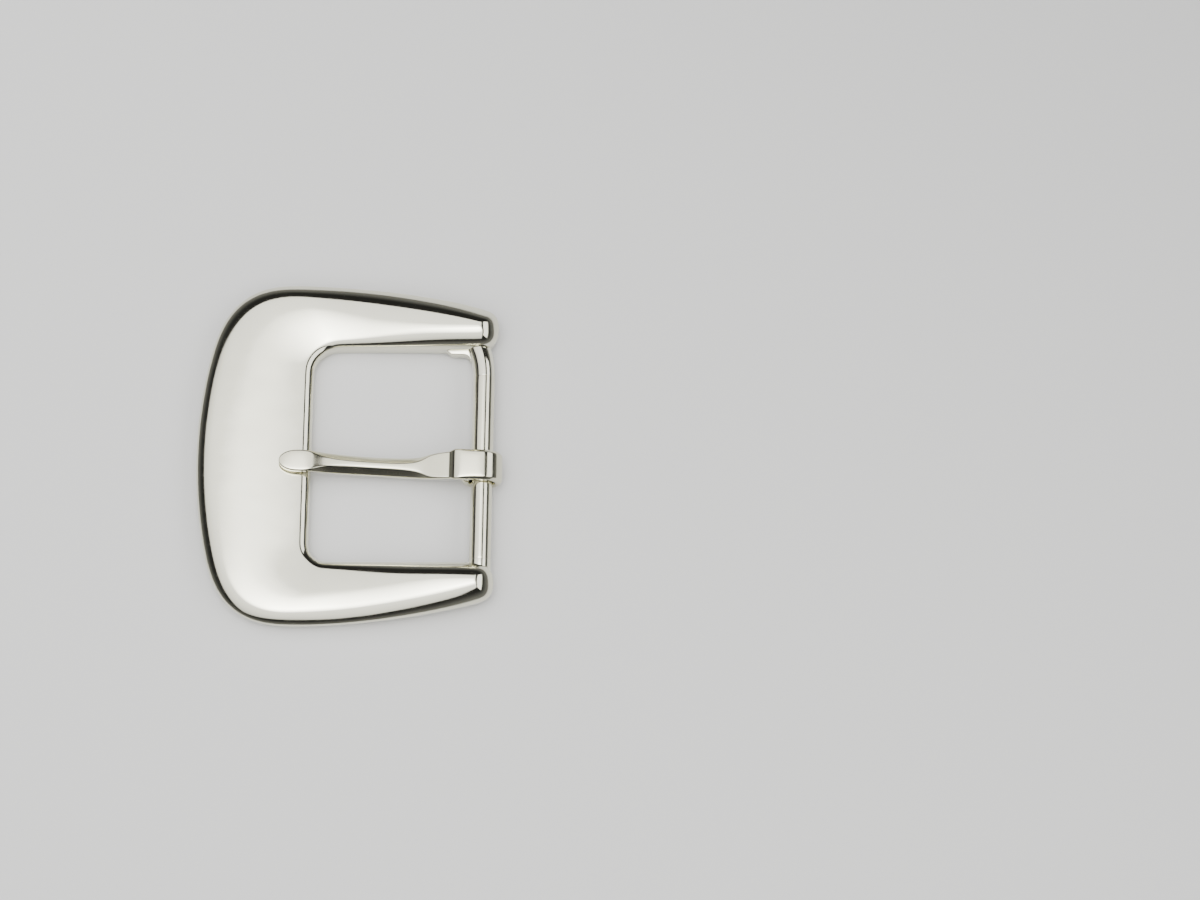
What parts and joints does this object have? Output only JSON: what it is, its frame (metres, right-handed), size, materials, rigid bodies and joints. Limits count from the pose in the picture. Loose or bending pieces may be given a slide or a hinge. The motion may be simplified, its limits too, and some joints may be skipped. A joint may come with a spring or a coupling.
{
  "type": "belt buckle",
  "caption": "Western belt buckle with a broad crowned C-shaped frame, a round heel bar and a hinged tongue curled round the bar that rests on the front band.",
  "frame": {"origin": "bottom centre of the whole buckle's box, level with the frame's flat back", "axes": "+Z out of the face; +Y across the belt, along the heel bar; -X the way the tongue points, along the belt"},
  "size_m": [0.0564, 0.065, 0.0079],
  "materials": {
    "frame_nickel": "mirror polished on the face and edges, tumbled satin on the back",
    "bar_nickel": "polished",
    "tongue_nickel": "polished, with rubbed edges"
  },
  "bodies": {
    "frame_body": {"frame": "frame_nickel", "heel_bar": "bar_nickel"},
    "tongue_body": {"tongue": "tongue_nickel"}
  },
  "joints": [
    {"name": "tongue_swing", "type": "hinge", "parent": "frame_body", "child": "tongue_body", "pos_m": [0.02438, -0.0024, 0.004], "axis": [0, 1, 0], "range_deg": [0, 175]}
  ]
}
